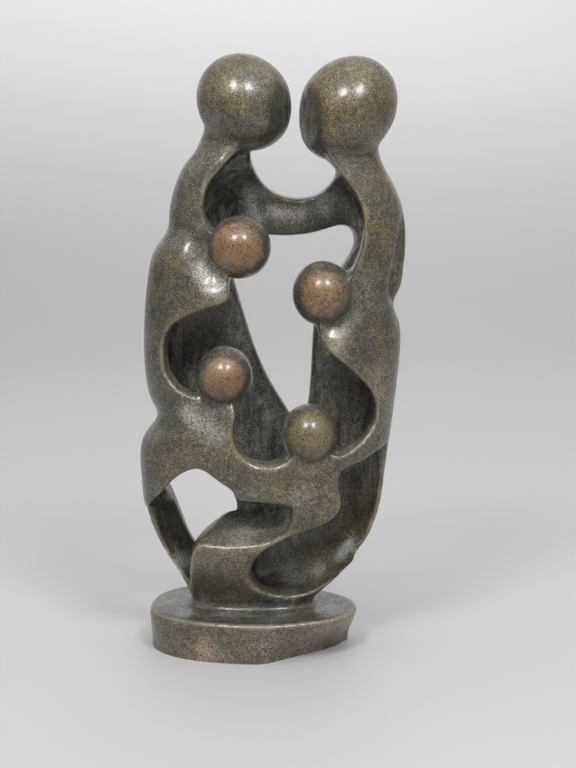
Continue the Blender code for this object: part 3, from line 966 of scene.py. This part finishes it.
    def cresting(self, piece: bpy.types.Object) -> np.ndarray:
        """How sharply each point stands out from its neighbours.

        Args:
            piece: the object.

        Returns:
            One number for each point, from 0 to 1.
        """
        places, normals = self.read(piece)
        mean = np.stack([self.spread(piece, places[:, k], self.crest_passes) for k in range(3)],
                        axis=1)
        proud = np.einsum("ij,ij->i", places - mean, normals)
        return self.spread(piece, np.clip(proud / self.crest_height, 0, 1), 1)

    def mark(self, piece: bpy.types.Object, name: str, values: np.ndarray) -> None:
        """Keeps one number for each point under a name that the finish reads."""
        made = piece.data.attributes.new(name, "FLOAT", "POINT")
        made.data.foreach_set("value", values.astype(np.float32))

    def dress(self, piece: bpy.types.Object) -> None:
        """Works out where the stone is warm, stained or worn, where shade and highlights are painted on
        it, and gives it its finish.

        Args:
            piece: the active object.
        """
        places, normals = self.read(piece)
        spots = self.spots(places)
        amber = sum(head.cap(spots) for head in CHILDREN if head.tint is Tint.AMBER)
        honey = sum(head.cap(spots) for head in CHILDREN if head.tint is Tint.HONEY)
        rings = sum(head.cap(spots, self.ring_width) for head in CHILDREN)
        valleys = sum(head.collar(spots) for head in CHILDREN)
        # the plinth's upward faces are made darker, and kept together with the painted shade
        plinth_top = (normals[:, 2] > self.plinth_facing) & (spots[:, 2] < self.plinth_limit)
        plinth_top_darkening = self.spread(piece, plinth_top * self.plinth_top_darkening, self.plinth_passes)
        # painted shade: each point's share of lost sky, weakened in the listed open hollows
        self.mark(piece, "hollow", self.hollowness(piece) * (1 - self.patches(spots, SHADE_LIFTS)))
        self.mark(piece, "crest", self.cresting(piece))
        self.mark(piece, "cap", amber)
        self.mark(piece, "honey", honey)
        # rims round the caps, partly their own tone and partly painted shade, plus painted shade in the
        # valleys round the heads
        self.mark(piece, "ring", np.clip(rings + valleys * self.valley_shade - amber - honey, 0, 1))
        self.mark(piece, "ochre", self.patches(spots, OCHRE))
        self.mark(piece, "rust_and_painted_light", self.patches(spots, RUST_AND_PAINTED_LIGHT))
        # painted highlights on the wax
        self.mark(piece, "painted_sheen", self.patches(spots, PAINTED_SHEENS))
        self.mark(piece, "painted_shade_and_darkening", np.maximum(self.patches(spots, PAINTED_SHADE), plinth_top_darkening))
        piece.data.materials.clear()
        piece.data.materials.append(self.finish.make())
        bpy.ops.object.shade_smooth_by_angle(angle=math.radians(self.crease))

    def build(self, frame: dict[str, Any]) -> bpy.types.Object:
        """Makes the piece and ties it to the frame.

        Args:
            frame: what the frame's loading gave.

        Returns:
            The finished piece.
        """
        piece = self.copy_solid(frame)
        self.refine(piece)
        self.relieve(piece)
        self.stand(piece)
        self.dress(piece)
        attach(piece, "root")
        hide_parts(self.node)
        return piece


@dataclass
class Studio:
    """A pale sweep, soft light from above and the photograph's view."""

    sweep_width: float = 5.0
    sweep_front: float = -2.6
    sweep_back: float = 1.6
    sweep_height: float = 2.6
    sweep_bend: float = 0.7
    sweep_segments: int = 16
    sweep_roughness: float = 0.6
    pick_gap: float = 0.01
    wall_light_tone: float = 0.90
    floor_shade_tone: float = 0.37
    tone_span: Span = (0.0, 0.5)
    ambient_low: float = 0.16
    ambient_high: float = 0.76
    ambient_span: Span = (-0.1, 0.9)
    lit_spot: Triple = (0.01, 0.0, 0.2)
    lamp_headings: tuple[float, ...] = (-25.0, 27.0)
    lamp_rise: float = 47.0
    lamp_distance: float = 1.25
    lamp_size: float = 0.32
    lamp_power: float = 8.6
    top_place: Triple = (0.0, 0.1, 1.7)
    top_size: float = 1.6
    top_power: float = 13.5
    back_place: Triple = (0.25, 1.15, 0.95)
    back_size: float = 0.7
    back_power: float = 3.0
    camera_place: Triple = (0.0179, -1.0, 0.32)
    camera_dip: float = 10.34
    camera_lens: float = 92.9
    camera_film: float = 36.0
    camera_nearest: float = 0.01

    def sweep(self) -> bpy.types.Object:
        """The floor, curving up into the backdrop.

        Returns:
            The sweep.
        """
        bpy.ops.object.select_all(action="DESELECT")
        middle = (self.sweep_front + self.sweep_back) / 2
        bpy.ops.mesh.primitive_plane_add(size=1, location=(0, middle, 0))
        floor = bpy.context.active_object
        floor.name = "sweep"
        floor.scale = (self.sweep_width, self.sweep_back - self.sweep_front, 1)
        bpy.ops.object.transform_apply(location=True, rotation=True, scale=True)
        self.pick_back(floor)
        bpy.ops.mesh.extrude_region_move(TRANSFORM_OT_translate={"value": (0, 0, self.sweep_height)})
        bpy.ops.object.mode_set(mode="OBJECT")
        self.pick_back(floor)
        bpy.ops.mesh.bevel(offset=self.sweep_bend, segments=self.sweep_segments)
        bpy.ops.object.mode_set(mode="OBJECT")
        bpy.ops.object.shade_smooth()
        floor.data.materials.append(self.paper())
        return floor

    def pick_back(self, floor: bpy.types.Object) -> None:
        """Selects the floor's back edge, and goes into edit mode.

        Args:
            floor: the active object, in object mode.
        """
        for part in (*floor.data.vertices, *floor.data.edges, *floor.data.polygons):
            part.select = False
        for vert in floor.data.vertices:
            vert.select = vert.co.y > self.sweep_back - self.pick_gap and vert.co.z < self.pick_gap
        for edge in floor.data.edges:
            edge.select = all(floor.data.vertices[v].select for v in edge.vertices)
        bpy.ops.object.mode_set(mode="EDIT")
        bpy.context.tool_settings.mesh_select_mode = (False, True, False)

    def paper(self) -> bpy.types.Material:
        """The sweep's paper, greyer on the floor than up the wall: painted shade on the floor offsets
        the stronger light from above, and the wall is painted paler for the light it lacks.

        Returns:
            The material.
        """
        bench = Bench(bpy.data.materials.new("sweep_paper"))
        floor_shade_grey, wall_light_grey = (self.floor_shade_tone,) * 3, (self.wall_light_tone,) * 3
        bench.feed(bench.shader.inputs["Base Color"],
                   bench.mix(bench.height().step(self.tone_span), floor_shade_grey, wall_light_grey))
        bench.shader.inputs["Roughness"].default_value = self.sweep_roughness
        return bench.owner

    def light(self, name: str, place: Vector, target: Vector, size: float,
              power: float) -> bpy.types.Object:
        """One soft disk of light.

        Args:
            name: what it is called.
            place: where it hangs.
            target: what it faces.
            size: its width.
            power: its strength in watts.

        Returns:
            The light.
        """
        data = bpy.data.lights.new(name, "AREA")
        data.shape = "DISK"
        data.size = size
        data.energy = power
        made = bpy.data.objects.new(name, data)
        bpy.context.scene.collection.objects.link(made)
        made.location = place
        made.rotation_euler = (target - place).to_track_quat("-Z", "Y").to_euler()
        return made

    def lights(self) -> None:
        """Two lamps above the front, and two broad ones that leave no gloss."""
        target = Vector(self.lit_spot)
        rise = math.radians(self.lamp_rise)
        for heading in self.lamp_headings:
            turn = math.radians(heading)
            way = Vector((math.sin(turn) * math.cos(rise), -math.cos(turn) * math.cos(rise),
                          math.sin(rise)))
            self.light("lamp", target + way * self.lamp_distance, target, self.lamp_size,
                       self.lamp_power)
        behind = self.light("behind", Vector(self.back_place), target, self.back_size,
                            self.back_power)
        top = Vector(self.top_place)
        above = self.light("overhead", top, Vector((top.x, top.y, 0)), self.top_size, self.top_power)
        for broad in (behind, above):
            broad.visible_glossy = False

    def room(self) -> None:
        """A pale light from all around, stronger from above."""
        world = bpy.data.worlds.new("room")
        bpy.context.scene.world = world
        bench = Bench(world)
        low, high = (self.ambient_low,) * 3, (self.ambient_high,) * 3
        bench.feed(bench.shader.inputs["Color"],
                   bench.mix(bench.height().step(self.ambient_span), low, high))
        bpy.context.scene.view_settings.view_transform = "Standard"

    def camera(self) -> bpy.types.Object:
        """The photograph's view.

        Returns:
            The camera.
        """
        data = bpy.data.cameras.new("view")
        data.sensor_fit = "VERTICAL"
        data.sensor_height = self.camera_film
        data.lens = self.camera_lens
        data.clip_start = self.camera_nearest
        made = bpy.data.objects.new("view", data)
        bpy.context.scene.collection.objects.link(made)
        made.location = self.camera_place
        made.rotation_euler = (math.radians(90 - self.camera_dip), 0, 0)
        bpy.context.scene.camera = made
        return made

    def build(self) -> None:
        """Sets up the floor, the light and the view."""
        self.sweep()
        self.lights()
        self.room()
        self.camera()


def main() -> None:
    """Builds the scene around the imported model."""
    logging.basicConfig(level=logging.INFO, format="%(name)s: %(message)s")
    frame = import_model()
    piece = CarvedFamily().build(frame)
    log.info("%s: %d faces", piece.name, len(piece.data.polygons))
    Studio().build()
    log.info("studio: sweep, lamps and camera")


if __name__ == "__main__":
    main()
